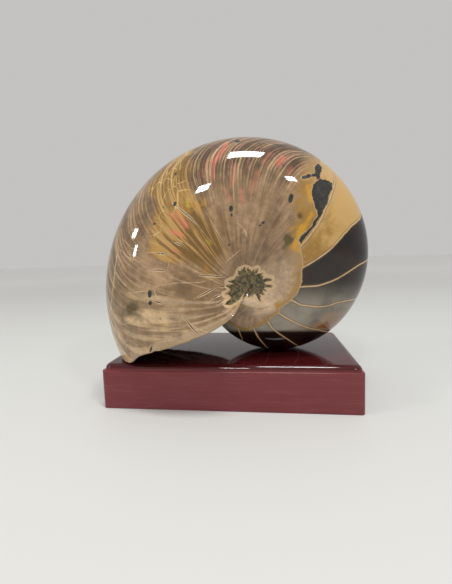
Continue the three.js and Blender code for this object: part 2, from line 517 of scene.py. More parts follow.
def lineOffset(points, lines, reach):  # signed distance to the nearest line, and a weight that fades from it
    offset = np.full(len(points), reach)
    nearest = np.full(len(points), 1e9)
    for line in lines:
        corners = np.array(line, float)
        lengths = np.linalg.norm(np.diff(corners, axis=0), axis=1)
        passed = np.concatenate([[0], np.cumsum(lengths)]) / lengths.sum()
        for start, end, before, after in zip(corners[:-1], corners[1:], passed[:-1], passed[1:]):
            edge = end - start
            along = np.clip(((points - start) @ edge) / (edge @ edge), 0, 1)
            gap = points - start - along[:, None] * edge
            distance = np.linalg.norm(gap, axis=1)
            sign = np.sign(edge[0] * gap[:, 1] - edge[1] * gap[:, 0])
            closer = distance < nearest
            share = before + (after - before) * along
            taper = 0.4 + 0.6 * np.sin(share * math.pi)  # thin at both ends
            offset = np.where(closer, distance * np.where(sign == 0, 1, sign) / taper, offset)
            nearest = np.minimum(nearest, distance)
    return np.clip(offset, -reach, reach), 1 - smoothStep(nearest, reach * 0.45, reach * 0.8)


def softSpots(points, spots):
    total = np.zeros(len(points))
    for *ends, width, strength in spots:
        start, end = np.array(ends[0], float), np.array(ends[-1], float)
        edge = end - start
        along = np.clip(((points - start) @ edge) / max(edge @ edge, 1e-9), 0, 1)
        distance = np.linalg.norm(points - start - along[:, None] * edge, axis=1)
        total = np.maximum(total, strength * np.exp(-(distance / width) ** 2))
    return total


def pitDepths(points, pits):
    deepest = np.full(len(points), -markForm["pitReach"])
    for x, y, halfWidth, halfHeight, turn in pits:
        angle = math.radians(turn)
        gap = points - np.array([x, y])
        acrossPit = (gap[:, 0] * math.cos(angle) + gap[:, 1] * math.sin(angle)) / halfWidth
        alongPit = (gap[:, 1] * math.cos(angle) - gap[:, 0] * math.sin(angle)) / halfHeight
        deepest = np.maximum(deepest, (1 - np.hypot(acrossPit, alongPit)) * min(halfWidth, halfHeight))
    return deepest


def displayedPlace(along, across, lift):  # pixels of the displayed side
    return photoPlace(coilPlace(along, across, 1.0) + [0, 0, lift])


def coilUnder(pixels, along, across, lift):  # where these pixels lie, as along and across
    pixels = np.array(pixels, float)
    seen = displayedPlace(along, across, lift)
    picked = [np.argmin(np.hypot(*(seen - pixel).T)) for pixel in pixels]
    found = np.stack([along[picked], across[picked]], -1)
    nudge = 1e-4
    for _ in range(8):
        here = displayedPlace(found[:, 0], found[:, 1], lift)
        byAlong = (displayedPlace(found[:, 0] + nudge, found[:, 1], lift) - here) / nudge
        byAcross = (displayedPlace(found[:, 0], found[:, 1] + nudge, lift) - here) / nudge
        slopes = np.stack([byAlong, byAcross], -1) + np.eye(2) * 1e-6
        move = np.linalg.solve(slopes, (pixels - here)[..., None])[..., 0]
        found += np.clip(move, -0.02, 0.02)
    return found


def sutureSweep(across):
    return markForm["sutureSweep"] * (across / markForm["sutureReach"]) ** markForm["sutureBend"]


def chamberNumber(along, across, sutures):  # whole numbers lie on the sutures
    form = markForm
    sweep = sutureSweep(np.minimum(across, form["sutureInner"]))
    lines = []
    for places in sutures:
        ordered = places[np.argsort(places[:, 1])]
        extra = ordered[:, 0] - sutureSweep(ordered[:, 1])
        lines.append(sweep + np.interp(across, ordered[:, 1], extra))
    lines.insert(0, lines[0] - form["chamberBefore"])
    for _ in range(2):
        lines.append(lines[-1] + form["chamberAfter"])
    number = np.full(along.shape, -1.0)
    spacing = np.full(along.shape, form["chamberPlain"])
    for index, (before, after) in enumerate(zip(lines[:-1], lines[1:])):
        passed = along >= before
        number = np.where(passed, index - 1 + (along - before) / (after - before), number)
        spacing = np.where(passed, after - before, spacing)
    return np.minimum(number, form["lastChamber"]), spacing


def addShellGrid():  # columns run along the coil and back through the mouth, rows across the whorl
    form = shellForm
    sideRows = form["sectionRows"] + form["flankRows"] + form["navelRows"]
    columns = form["spiralColumns"] + form["stoneColumns"] + form["wallColumns"] + form["rimColumns"]
    bpy.ops.mesh.primitive_grid_add(x_subdivisions=columns, y_subdivisions=2 * sideRows, size=2)
    shell = bpy.context.object
    shell.name = "fossilShell"
    flat = np.empty(len(shell.data.vertices) * 3)
    shell.data.vertices.foreach_get("co", flat)
    share = (flat.reshape(-1, 3) + 1) / 2
    column = np.rint(share[:, 0] * columns).astype(int)
    row = np.rint(share[:, 1] * 2 * sideRows).astype(int) - sideRows
    return shell, column, row


def wrapShell(gridColumn, row):  # the grid's vertices on the coil, mm
    form = shellForm
    column = gridColumn % gridColumn.max()  # the last column meets the first
    across = rowAcross(np.abs(row))
    side = np.where(row > 0, 1.0, -1.0)
    zero = np.zeros_like(across)
    startShare = lipShare(whorlSection(zero, across)[0])
    endShare = lipShare(whorlSection(zero + 2 * math.pi, across)[0])

    # along the spiral, with a worn lip that starts a little back from the growth line
    alongLip = np.stack([across * side * form["wearStretch"], zero + form["wearOffset"]], -1)
    worn = np.maximum(plainWaves(alongLip, form["wearSize"], 5), 0) ** 1.5
    wear = form["lipWear"] * worn * startShare * smoothStep(across, *form["wearAcross"])
    lipBack = form["lipRound"] * startShare
    share = np.minimum(column / form["spiralColumns"], 1)
    eased = (1 - form["columnEase"]) * share + form["columnEase"] * share ** 2
    end = 2 * math.pi + form["mouthRecess"] * endShare
    along = lipBack + (end - lipBack) * eased
    along = along + wear * np.exp(-along / form["wearFade"])
    place = coilPlace(along, across, side)

    # the stone in the mouth, the lip's inner wall and its round edge
    stoneEnd = form["spiralColumns"] + form["stoneColumns"]
    wallEnd = stoneEnd + form["wallColumns"]
    stone = np.clip((column - form["spiralColumns"]) / form["stoneColumns"], 0, 1)
    wall = np.clip((column - stoneEnd) / form["wallColumns"], 0, 1)
    rim = np.clip((column - wallEnd) / form["rimColumns"], 0, 1)
    floorEdge = coilPlace(zero, across, side, form["lipThickness"], form["mouthRecess"])
    place = np.where((stone > 0)[:, None], place + (floorEdge - place) * stone[:, None], place)
    fullShare = np.maximum(startShare, 1e-6)
    backTurn = np.where(startShare > 0, (lipBack + wear) / fullShare, 0)
    wallTurn = form["mouthRecess"] + (backTurn - form["mouthRecess"]) * wall
    wallPlace = coilPlace(zero, across, side, form["lipThickness"], wallTurn)
    place = np.where((wall > 0)[:, None], wallPlace, place)
    rimBack = wear + lipBack * (1 - np.sin(rim * math.pi))
    rimTurn = np.where(startShare > 0, rimBack / fullShare, 0)
    rimInset = form["lipThickness"] * (1 + np.cos(rim * math.pi)) / 2
    place = np.where((rim > 0)[:, None], coilPlace(zero, across, side, rimInset, rimTurn), place)
    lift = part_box("shell")[0].z * 1000 - place[:, 2].min()
    print("shell wrapped", len(place))
    return {
        "column": gridColumn, "row": row, "along": along, "across": across, "side": side,
        "stone": stone, "rim": rim, "lift": lift, "place": place + [0, 0, lift],
    }


def facingShare(along, across, lift):  # 1 where the displayed side faces the camera, 0 at its outline
    nudge = 1e-3
    here = coilPlace(along, across, 1.0)
    byAlong = coilPlace(along + nudge, across, 1.0) - here
    byAcross = coilPlace(along, across + nudge, 1.0) - here
    normal = np.cross(byAlong, byAcross)
    normal /= np.maximum(np.linalg.norm(normal, axis=1, keepdims=True), 1e-12)
    toEye = np.array(view["place"]) - here - [0, 0, lift]
    toEye /= np.linalg.norm(toEye, axis=1, keepdims=True)
    facing = np.einsum("ij,ij->i", normal, toEye)
    onFlank = (across > 0.5) & (across < 0.7)
    return smoothStep(facing * np.sign(np.median(facing[onFlank])), *markForm["facingFade"])


def markDepth(points, name, reach):
    return np.clip(insideDepth(points, marks[name]), -reach, reach)


def chamberFields(coil, turned):  # the skin's broken edge and the chambers that it leaves bare
    form = markForm
    along, across, lift = coil["along"], coil["across"], coil["lift"]
    onSpiral = (coil["column"] <= shellForm["spiralColumns"]) & (along < 2 * math.pi)
    near = np.flatnonzero(onSpiral & (coil["row"] > form["nearRows"]))
    sutures = [coilUnder(line, along[near], across[near], lift) for line in marks["sutures"]]
    edge = coilUnder(marks["skinEdge"], along[near], across[near], lift)
    edge = np.concatenate([form["skinEdgeVenter"], edge, form["skinEdgeInner"]])
    flatScale = np.array([form["flatAlong"], form["flatAcross"]])
    bare = insideDepth(np.stack([turned, across], -1) * flatScale, edge * flatScale)
    chamber, spacing = chamberNumber(along, across, sutures)
    out = whorlSection(along, across)[0]
    return {"bare": np.clip(bare, -40, 40), "chamber": chamber, "spacing": spacing * out}


def placeMarks(coil):  # the marks as fields over the vertices, read off the displayed side for both sides
    form = markForm
    along, across, side, lift = (coil[name] for name in ("along", "across", "side", "lift"))
    isFar = (side < 0)[:, None]
    turned = along + np.where(side < 0, form["farTurn"] * smoothStep(across, *form["farTurnAcross"]), 0)
    pixels = displayedPlace(turned, across, lift)
    shifted = pixels + np.where(isFar, form["farShift"], 0)
    farMiddle = np.array(form["farTarMiddle"])
    tarPixels = np.where(isFar, farMiddle - (pixels - farMiddle) * form["farTarScale"], pixels)
    shown = facingShare(turned, across, lift)

    fields = chamberFields(coil, turned)
    fields["growth"] = along - form["venterSinus"] * np.exp(-(across / form["sinusSpread"]) ** 2)
    fields["across"] = across * side
    fields["tar"] = np.maximum(markDepth(tarPixels, "tarPatch", 12), markDepth(tarPixels, "tarBlob", 12))
    fields["navel"] = markDepth(pixels, "navelStone", 15)
    fields["golden"] = markDepth(pixels, "goldStain", 15)
    fields["rust"] = markDepth(shifted, "rustChip", 8)
    fields["rustHalo"] = markDepth(shifted, "rustHalo", 12)
    crisp, soft = form["amberEdge"]
    amberEdge = crisp + (soft - crisp) * smoothStep(shifted[:, 0], *form["amberEdgeSpan"])
    fields["amber"] = np.clip(insideDepth(shifted, marks["amberStain"]) / amberEdge, -6, 6)
    fields["pit"] = np.where(shown > 0.5, pitDepths(shifted, marks["pits"]), -form["pitReach"])
    for name, lines in (("slit", "slits"), ("vein", "veins")):
        fields[name], fading = lineOffset(shifted, marks[lines], form["lineReach"])
        fields[name + "Fade"] = fading * shown
    fields["blush"] = softSpots(shifted, marks["blushes"]) * shown
    fields["fleck"] = softSpots(shifted, marks["flecks"])
    fields["bright"] = softSpots(shifted, marks["brightSpots"])
    fields["olive"] = softSpots(shifted, [((x, y), *spot) for x, y, *spot in marks["oliveSpots"]])

    overTop, atLeft = (zoneShare(name, turned, across) for name in ("overTop", "atLeft"))
    fields["stripe"] = np.maximum(overTop, atLeft)
    fields["fold"] = zoneShare("folds", turned, across)
    fields["pleat"] = zoneShare("pleats", turned, across)
    tanFrom, tanMore = (zoneShare(name, turned, across) for name in ("tanFrom", "tanMore"))
    fields["navelTan"] = tanFrom + tanMore
    # painted reflection of the pale table, grey on the lower bare chambers
    tableReflectionRows = smoothStep(pixels[:, 1], *form["tableReflectionFrom"]) * (1 - smoothStep(pixels[:, 1], *form["tableReflectionTo"]))
    tableReflectionInner = 1 - smoothStep(across, *form["tableReflectionAcross"])
    fields["tableReflection"] = tableReflectionRows * tableReflectionInner * smoothStep(fields["chamber"], *form["tableReflectionChamber"])
    inMouth = coil["stone"] > 0
    fields["mouth"] = np.where(inMouth & (coil["rim"] < 0.3), 1.0, 0.0)
    fromLip = along * whorlSection(along, across)[0]
    fields["lip"] = np.where(inMouth, 0.0, np.minimum(fromLip, form["lipReach"]))
    print("marks placed")
    return fields


def coilNormals(coil):  # outward normals of the wrapped grid, along the axis in the middle of the navels
    place, row, across = coil["place"], coil["row"], coil["across"]
    order = np.lexsort((coil["column"], row))
    sheet = place[order].reshape(2 * row.max() + 1, -1, 3)
    byColumn = np.roll(sheet[:, :-1], -1, 1) - np.roll(sheet[:, :-1], 1, 1)
    byColumn = np.concatenate([byColumn, byColumn[:, :1]], 1)
    normal = np.cross(byColumn, np.gradient(sheet, axis=0))
    length = np.linalg.norm(normal, axis=2, keepdims=True)
    normal = np.where(length > 1e-6, normal / np.maximum(length, 1e-6), 0)
    normals = np.empty_like(place)
    normals[order] = normal.reshape(-1, 3)
    turn = shellForm["coilTurn"]
    axis = np.array([math.sin(turn), -math.cos(turn), 0.0]) * coil["side"][:, None]
    outward = np.sign(np.median(np.einsum("ij,ij->i", normals, axis)[across > 0.6]))
    return np.where((across > 0.985)[:, None], axis, normals * outward)


def reliefDepth(coil, fields):  # how far each vertex is cut in, mm
    form = markForm
    place, across, stone = coil["place"], coil["across"], coil["stone"]
    inMouth = stone > 0
    onSkin = np.where(inMouth, 0.0, smoothStep(fields["lip"], 0.5, 6))
    inNavel = smoothStep(fields["navel"], -0.6, 1.6)
    bumps = plainWaves(place, waveSizes["navel"], 11) + 0.5 * plainWaves(place, waveSizes["navelFine"], 12)
    stoneRough = plainWaves(place, waveSizes["stone"], 16)
    stoneRough += 0.6 * plainWaves(place, waveSizes["stoneFine"], 17)
    slitShare = (1 - smoothStep(np.abs(fields["slit"]), 0.2, 1.6)) * fields["slitFade"]
    tarCut = form["tarDepth"] + form["tarBumps"] * plainWaves(place, waveSizes["tar"], 13)
    sway = form["foldSway"] * plainWaves(place, waveSizes["folds"], 14)
    folds = np.sin(fields["growth"] / form["foldSpacing"] * 2 * math.pi + sway)
    cut = form["skinStep"] * smoothStep(fields["bare"], -0.6, 0.6)
    cut += form["pitDepth"] * smoothStep(fields["pit"], -0.7, 1.0)
    cut += form["slitDepth"] * slitShare
    cut += tarCut * smoothStep(fields["tar"], -0.6, 1.2)
    cut -= form["foldHeight"] * fields["fold"] * folds * smoothStep(fields["lip"], 4, 20)
    cut += form["handWaves"] * plainWaves(place, waveSizes["polish"], 15) * (1 - inNavel)
    depth = cut * onSkin
    depth += np.where(inMouth, 0, inNavel * (form["navelRecess"] + form["navelBumps"] * bumps))
    stoneCut = form["stoneBumps"] * stoneRough * np.sin(stone * math.pi) ** 0.5
    depth += np.where(inMouth & (coil["rim"] == 0), stoneCut, 0)
    return np.where(across > 0.999, 0, depth)


def closeShell(mesh):
    bpy.ops.object.mode_set(mode="EDIT")
    bpy.ops.mesh.select_all(action="SELECT")
    bpy.ops.mesh.remove_doubles(threshold=2e-6)
    bpy.ops.mesh.dissolve_degenerate(threshold=1e-7)
    bpy.ops.mesh.select_all(action="SELECT")
    bpy.ops.mesh.normals_make_consistent(inside=False)
    bpy.ops.object.mode_set(mode="OBJECT")
    bpy.ops.object.shade_smooth()
    print("shell built", len(mesh.polygons))


def buildShell():
    shell, column, row = addShellGrid()
    coil = wrapShell(column, row)
    fields = placeMarks(coil)
    place = coil["place"] - coilNormals(coil) * reliefDepth(coil, fields)[:, None]
    mesh = shell.data
    mesh.vertices.foreach_set("co", (place / 1000).ravel())
    for name, values in fields.items():
        mesh.attributes.new(name, "FLOAT", "POINT").data.foreach_set("value", values.astype(np.float32))
    mesh.update()
    closeShell(mesh)
    shell.select_set(False)
    return shell


# colours of the polished fossil
fossilFinish = {
    "mauve": (0.203, 0.123, 0.065),
    "tan": (0.368, 0.235, 0.130),
    "navelTan": (0.678, 0.491, 0.314),
    "beige": (0.583, 0.402, 0.220),
    "foldDark": (0.248, 0.161, 0.083),
    "pleatDark": (0.225, 0.134, 0.054),
    "shade": (0.074, 0.050, 0.026),
    "pale": (0.504, 0.355, 0.212),
    "rose": (0.333, 0.164, 0.114),
    "amberDeep": (0.167, 0.088, 0.019),
    "amber": (0.458, 0.260, 0.078),
    "amberPale": (0.496, 0.330, 0.150),
    "amberGold": (0.47, 0.235, 0.045),
    "gold": (0.554, 0.342, 0.118),
    "goldDeep": (0.324, 0.169, 0.028),
    "rimGold": (0.381, 0.206, 0.032),
    "brightGold": (0.594, 0.303, 0.029),
    "wallShade": (0.16, 0.082, 0.02),
    "crackGold": (0.702, 0.476, 0.179),
    "cream": (0.630, 0.441, 0.253),
    "chamber": (0.007, 0.004, 0.003),
    "chamberWarm": (0.022, 0.010, 0.006),
    # painted reflection of the pale table on the lower bare chambers
    "tableReflectionGrey": (0.30, 0.262, 0.205),
    "tar": (0.020, 0.019, 0.016),
    "tarGrain": (0.06, 0.055, 0.045),
    "navelStone": (0.21, 0.155, 0.068),
    "navelDark": (0.035, 0.032, 0.016),
    "blush": (0.70, 0.19, 0.13),
    "fleck": (0.50, 0.44, 0.04),
    "olive": (0.085, 0.062, 0.015),
    "rust": (0.24, 0.09, 0.03),
    "rustHalo": (0.33, 0.21, 0.13),
    "lineSpacing": 0.036,  # growth lines, radians along the coil
    "lineSway": 16.0,
    "threadSpacing": 0.0152,
    "threadSway": 34.0,
    "ribSpacing": 0.085,
    "ribSway": 9.0,
    "polish": 0.05,  # roughness
    "tarRough": 0.32,
    "stoneRough": 0.5,
    "indexOfRefraction": 1.5,
    "bumpStrength": 0.35,
    "bumpHeight": 0.0006,
}


def growthWaves(tree, growth, spacing, sway, swing):  # lines along the growth, swayed by a noise
    turn = times(tree, growth, 2 * math.pi / spacing)
    return sums(tree, "SINE", sums(tree, "ADD", turn, times(tree, sway, swing)))


def drawnOut(tree, growth, across, stretch, scale, detail, rough, warp=0.0):  # noise along growth lines
    return grainNoise(tree, joinAxes(tree, growth, times(tree, across, stretch)), scale, detail, rough, warp)


def skinColour(tree, where, growth, across):
    finish = fossilFinish
    cloud = grainNoise(tree, where, 30, 4, 0.55, 0.6)
    mottle = grainNoise(tree, where, 140, 5, 0.65)
    smear = drawnOut(tree, growth, across, 0.5, 10, 4, 0.55, 0.6)
    sway = drawnOut(tree, growth, across, 0.7, 4.5, 3, 0.5)
    bold = drawnOut(tree, growth, across, 0.12, 17, 3, 0.55, 0.2)
    swirl = drawnOut(tree, growth, across, 0.3, 9, 3, 0.5, 1.4)
    lines = growthWaves(tree, growth, finish["lineSpacing"], sway, finish["lineSway"])
    threads = growthWaves(tree, growth, finish["threadSpacing"], sway, finish["threadSway"])
    ribs = growthWaves(tree, growth, finish["ribSpacing"], sway, finish["ribSway"])

    # cloudy flank, paler round the navel, swirled folds and ribs behind the lip
    mixed = sums(tree, "ADD", times(tree, cloud, 0.45), times(tree, smear, 0.55))
    colour = blendColour(tree, fade(tree, mixed, 0.38, 0.62), finish["mauve"], finish["tan"])
    colour = blendColour(tree, readField(tree, "navelTan"), colour, finish["navelTan"])
    foldTone = blendColour(tree, fade(tree, swirl, 0.40, 0.56), finish["foldDark"], finish["beige"])
    foldTone = blendColour(tree, fade(tree, bold, 0.47, 0.38, 0, 0.7), foldTone, finish["pale"])
    foldTone = blendColour(tree, fade(tree, bold, 0.53, 0.62, 0, 0.6), foldTone, finish["pleatDark"])
    colour = blendColour(tree, times(tree, readField(tree, "fold"), 0.9), colour, foldTone)
    ribs = sums(tree, "ADD", ribs, fade(tree, bold, 0.3, 0.7, -1.0, 1.0))
    pleat = readField(tree, "pleat")
    darkRibs = times(tree, fade(tree, ribs, 0.0, 1.1, 0, 0.75), pleat)
    paleRibs = times(tree, fade(tree, ribs, -0.3, -1.2, 0, 0.7), pleat)
    colour = blendColour(tree, darkRibs, colour, finish["pleatDark"])
    colour = blendColour(tree, paleRibs, colour, finish["pale"])

    # growth lines, strongest over the top
    stripe = readField(tree, "stripe")
    drawn = sums(tree, "ADD", times(tree, lines, 0.55), times(tree, threads, 0.35))
    drawn = sums(tree, "ADD", drawn, fade(tree, bold, 0.3, 0.7, -0.9, 0.9))
    rosy = times(tree, fade(tree, smear, 0.52, 0.42), fade(tree, stripe, 0.5, 1, 0, 0.8))
    colour = blendColour(tree, rosy, colour, finish["rose"])
    darkLines = times(tree, fade(tree, drawn, -0.6, 0.3, 0, 0.92), stripe)
    paleLines = times(tree, fade(tree, drawn, -0.6, -1.1, 0, 0.7), stripe)
    colour = blendColour(tree, darkLines, colour, finish["shade"])
    colour = blendColour(tree, paleLines, colour, finish["pale"])
    tone = fade(tree, mottle, 0.32, 0.68, 0.76, 1.2)
    return blendColour(tree, 1.0, colour, joinAxes(tree, tone, tone, tone), "MULTIPLY"), bold, drawn


def amberColour(tree, growth, across, colour, drawn, ragged, cloud):  # the amber stain and its cracks
    finish = fossilFinish
    feather = drawnOut(tree, growth, across, 0.2, 20, 5, 0.62, 0.5)
    inward = sums(tree, "ABSOLUTE", across)
    amber = sums(tree, "ADD", readField(tree, "amber"), fade(tree, cloud, 0.25, 0.75, -1.0, 1.0))
    amberShare = fade(tree, amber, -0.9, 1.0, 0, 0.92)
    lowered = sums(tree, "ADD", feather, fade(tree, inward, 0.5, 0.7, 0.03, -0.15))
    tone = blendColour(tree, fade(tree, lowered, 0.34, 0.50), finish["amberDeep"], finish["amber"])
    tone = blendColour(tree, fade(tree, lowered, 0.52, 0.64, 0, 0.85), tone, finish["amberPale"])
    tone = blendColour(tree, fade(tree, cloud, 0.55, 0.66, 0, 0.5), tone, finish["amberGold"])
    outer = fade(tree, inward, 0.58, 0.40)
    darkLines = times(tree, fade(tree, drawn, -0.9, 0.1, 0, 0.85), outer)
    paleLines = times(tree, fade(tree, drawn, -0.7, -1.1, 0, 0.7), outer)
    tone = blendColour(tree, darkLines, tone, finish["amberDeep"])
    tone = blendColour(tree, paleLines, tone, finish["amberPale"])
    colour = blendColour(tree, amberShare, colour, tone)
    split = sums(tree, "ABSOLUTE", sums(tree, "SUBTRACT", feather, 0.47))
    split = times(tree, fade(tree, split, 0.010, 0.002), fade(tree, ragged, 0.46, 0.58, 0, 0.75))
    colour = blendColour(tree, times(tree, split, amberShare), colour, finish["navelDark"])
    wander = joinAxes(tree, sums(tree, "ADD", growth, times(tree, ragged, 0.08)), times(tree, across, 1.3))
    crazed = fade(tree, cellEdges(tree, wander, 10), 0.035, 0.0)
    crazed = times(tree, crazed, fade(tree, cloud, 0.40, 0.54, 0.1, 0.9))
    crazed = times(tree, crazed, fade(tree, inward, 0.58, 0.48))
    return blendColour(tree, times(tree, crazed, amberShare), colour, finish["crackGold"])


def goldColour(tree, colour, bold, ragged, cloud):  # gold along the skin's edge, and small coloured spots
    finish = fossilFinish
    rim = sums(tree, "ADD", readField(tree, "bare"), fade(tree, ragged, 0.2, 0.8, -4, 4))
    rimTone = blendColour(tree, fade(tree, ragged, 0.36, 0.62), finish["goldDeep"], finish["rimGold"])
    rimTone = blendColour(tree, fade(tree, cloud, 0.46, 0.62, 0, 0.65), rimTone, finish["tan"])
    colour = blendColour(tree, fade(tree, rim, -9, -2, 0, 0.85), colour, rimTone)
    golden = sums(tree, "ADD", readField(tree, "golden"), fade(tree, cloud, 0.25, 0.75, -6, 6))
    colour = blendColour(tree, fade(tree, golden, -7, 8, 0, 0.85), colour, rimTone)
    bright = times(tree, readField(tree, "bright"), fade(tree, ragged, 0.35, 0.6, 0.5, 1.1))
    colour = blendColour(tree, fade(tree, bright, 0.1, 0.8, 0, 0.9), colour, finish["brightGold"])
    olive = times(tree, readField(tree, "olive"), fade(tree, ragged, 0.3, 0.6, 0.4, 1.2))
    colour = blendColour(tree, fade(tree, olive, 0.15, 0.6, 0, 0.95), colour, finish["olive"])
    blush = times(tree, readField(tree, "blush"), fade(tree, bold, 0.62, 0.42, 0.25, 0.9))
    colour = blendColour(tree, blush, colour, finish["blush"])
    return blendColour(tree, times(tree, readField(tree, "fleck"), 0.7), colour, finish["fleck"])


def chamberColour(tree, where, across):  # bare chambers and the cream lines of their walls
    finish = fossilFinish
    chamber = readField(tree, "chamber")
    haze = grainNoise(tree, where, 34, 5, 0.6, 0.5)
    grit = grainNoise(tree, where, 300, 4, 0.7)
    colour = blendColour(tree, fade(tree, haze, 0.42, 0.72), finish["chamber"], finish["chamberWarm"])
    # painted reflection: the lower bare chambers turn grey where they would mirror the pale table
    tableReflectionShare = times(tree, readField(tree, "tableReflection"), fade(tree, haze, 0.3, 0.6, 0.6, 1.0))
    colour = blendColour(tree, tableReflectionShare, colour, finish["tableReflectionGrey"])
    lowered = sums(tree, "ADD", haze, fade(tree, sums(tree, "ABSOLUTE", across), 0.52, 0.72, 0.12, -0.12))
    gold = blendColour(tree, fade(tree, lowered, 0.36, 0.60), finish["goldDeep"], finish["gold"])
    gold = blendColour(tree, fade(tree, grit, 0.5, 0.72, 0, 0.45), gold, finish["amberPale"])
    gold = blendColour(tree, fade(tree, chamber, 0.3, 0.04, 0, 0.4), gold, finish["amberPale"])
    colour = blendColour(tree, fade(tree, chamber, 1.01, 0.99), colour, gold)
    halo = fade(tree, readField(tree, "rustHalo"), -2, 3, 0, 0.8)
    colour = blendColour(tree, halo, colour, finish["rustHalo"])
    colour = blendColour(tree, fade(tree, readField(tree, "rust"), -0.4, 0.4), colour, finish["rust"])
    part = sums(tree, "FRACT", sums(tree, "ADD", chamber, fade(tree, haze, 0.2, 0.8, -0.02, 0.02)))
    fromLine = sums(tree, "SUBTRACT", 0.5, sums(tree, "ABSOLUTE", sums(tree, "SUBTRACT", part, 0.5)))
    offLine = times(tree, fromLine, readField(tree, "spacing"))
    line = times(tree, fade(tree, offLine, 0.72, 0.3), fade(tree, grit, 0.3, 0.5, 0.6, 0.95))
    colour = blendColour(tree, fade(tree, offLine, 2.2, 0.6, 0, 0.55), colour, finish["wallShade"])
    return blendColour(tree, line, colour, finish["cream"])


def crackColour(tree, colour, ragged, broken):  # worn lip, pale hair lines, slits with pale rims, pits
    finish = fossilFinish
    worn = sums(tree, "SUBTRACT", readField(tree, "lip"), fade(tree, ragged, 0.3, 0.7, 0, 9))
    colour = blendColour(tree, fade(tree, worn, 3, -1, 0, 0.45), colour, finish["pale"])
    offVein = sums(tree, "ABSOLUTE", readField(tree, "vein"))
    vein = times(tree, fade(tree, offVein, 0.85, 0.15, 0, 0.75), readField(tree, "veinFade"))
    colour = blendColour(tree, times(tree, vein, broken), colour, finish["cream"])
    offSlit = sums(tree, "ABSOLUTE", readField(tree, "slit"))
    slitFade = readField(tree, "slitFade")
    slitRim = times(tree, fade(tree, offSlit, 1.9, 0.8), slitFade)
    slitRim = times(tree, slitRim, fade(tree, ragged, 0.35, 0.5, 0.5, 1.0))
    colour = blendColour(tree, slitRim, colour, finish["cream"])
    slitCore = times(tree, fade(tree, offSlit, 0.75, 0.35), slitFade)
    colour = blendColour(tree, slitCore, colour, finish["navelDark"])
    pit = sums(tree, "ADD", readField(tree, "pit"), fade(tree, ragged, 0.25, 0.75, -0.5, 0.5))
    pitCore = fade(tree, pit, -0.35, 0.4)
    hollow = sums(tree, "MAXIMUM", pitCore, slitCore)
    return blendColour(tree, pitCore, colour, finish["tar"]), hollow, slitCore


def bareColour(tree, where, across, colour, grit, ragged, broken):  # chambers under the broken skin, and tar
    finish = fossilFinish
    bare = sums(tree, "ADD", readField(tree, "bare"), fade(tree, ragged, 0.25, 0.75, -1.0, 1.0))
    colour = blendColour(tree, fade(tree, bare, -0.2, 0.2), colour, chamberColour(tree, where, across))
    edge = times(tree, fade(tree, bare, -0.9, -0.2), fade(tree, bare, 0.6, 0.2))
    colour = blendColour(tree, times(tree, edge, broken), colour, finish["amberPale"])
    tar = sums(tree, "ADD", readField(tree, "tar"), fade(tree, ragged, 0.25, 0.75, -1.2, 1.2))
    tarRim = times(tree, fade(tree, tar, -1.7, -0.5), broken)
    colour = blendColour(tree, tarRim, colour, finish["amberPale"])
    tarShare = fade(tree, tar, -0.4, 0.4)
    tarTone = blendColour(tree, fade(tree, grit, 0.5, 0.72), finish["tar"], finish["tarGrain"])
    return blendColour(tree, tarShare, colour, tarTone), tarShare


def stoneColour(tree, growth, across, colour, grit, ragged):  # stone in navels and mouth, with a toothed rim
    finish = fossilFinish
    stone = blendColour(tree, fade(tree, grit, 0.36, 0.64), finish["navelDark"], finish["navelStone"])
    stone = blendColour(tree, fade(tree, ragged, 0.56, 0.7, 0, 0.5), stone, finish["navelDark"])
    inNavel = readField(tree, "navel")
    nearRim = sums(tree, "ADD", inNavel, fade(tree, ragged, 0.3, 0.7, -1, 1))
    colour = blendColour(tree, fade(tree, nearRim, -4.0, -2.4, 0, 0.85), colour, finish["cream"])
    teeth = drawnOut(tree, growth, across, 1.5, 6.5, 2, 0.6)
    toothed = sums(tree, "ADD", inNavel, fade(tree, teeth, 0.3, 0.7, -3.2, 2.2))
    toothed = sums(tree, "ADD", toothed, fade(tree, ragged, 0.25, 0.75, -0.8, 0.8))
    stoneShare = sums(tree, "MAXIMUM", fade(tree, toothed, -0.5, 0.5), readField(tree, "mouth"))
    return blendColour(tree, stoneShare, colour, stone), stoneShare


def fossilMaterial():
    finish = fossilFinish
    material, tree, shader, where = startMaterial("polishedFossil")
    growth = readField(tree, "growth")
    across = readField(tree, "across")
    colour, bold, drawn = skinColour(tree, where, growth, across)
    stainEdge = grainNoise(tree, where, 80, 5, 0.6)
    stainCloud = grainNoise(tree, where, 42, 4, 0.55, 0.8)
    colour = amberColour(tree, growth, across, colour, drawn, stainEdge, stainCloud)
    colour = goldColour(tree, colour, bold, stainEdge, stainCloud)
    grit = grainNoise(tree, where, 420, 3, 0.7)
    ragged = grainNoise(tree, where, 150, 4, 0.6)
    broken = fade(tree, ragged, 0.38, 0.55, 0.25, 0.9)
    colour, hollow, slitCore = crackColour(tree, colour, ragged, broken)
    colour, tarShare = bareColour(tree, where, across, colour, grit, ragged, broken)
    colour, stoneShare = stoneColour(tree, growth, across, colour, grit, ragged)
    feed(tree, shader.inputs["Base Color"], colour)

    rough = blendValue(tree, tarShare, finish["polish"], finish["tarRough"])
    rough = blendValue(tree, stoneShare, rough, finish["stoneRough"])
    rough = blendValue(tree, hollow, rough, finish["stoneRough"])
    feed(tree, shader.inputs["Roughness"], rough)
    shader.inputs["IOR"].default_value = finish["indexOfRefraction"]
    grainy = times(tree, grit, sums(tree, "MAXIMUM", stoneShare, times(tree, tarShare, 0.6)))
    height = sums(tree, "ADD", grainy, times(tree, slitCore, -0.8))
    addBump(tree, shader, height, finish["bumpStrength"], finish["bumpHeight"])
    return material


shell = buildShell()
shell.data.materials.clear()
shell.data.materials.append(fossilMaterial())
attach(shell, "root")
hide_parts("shell")
print("shell finished")


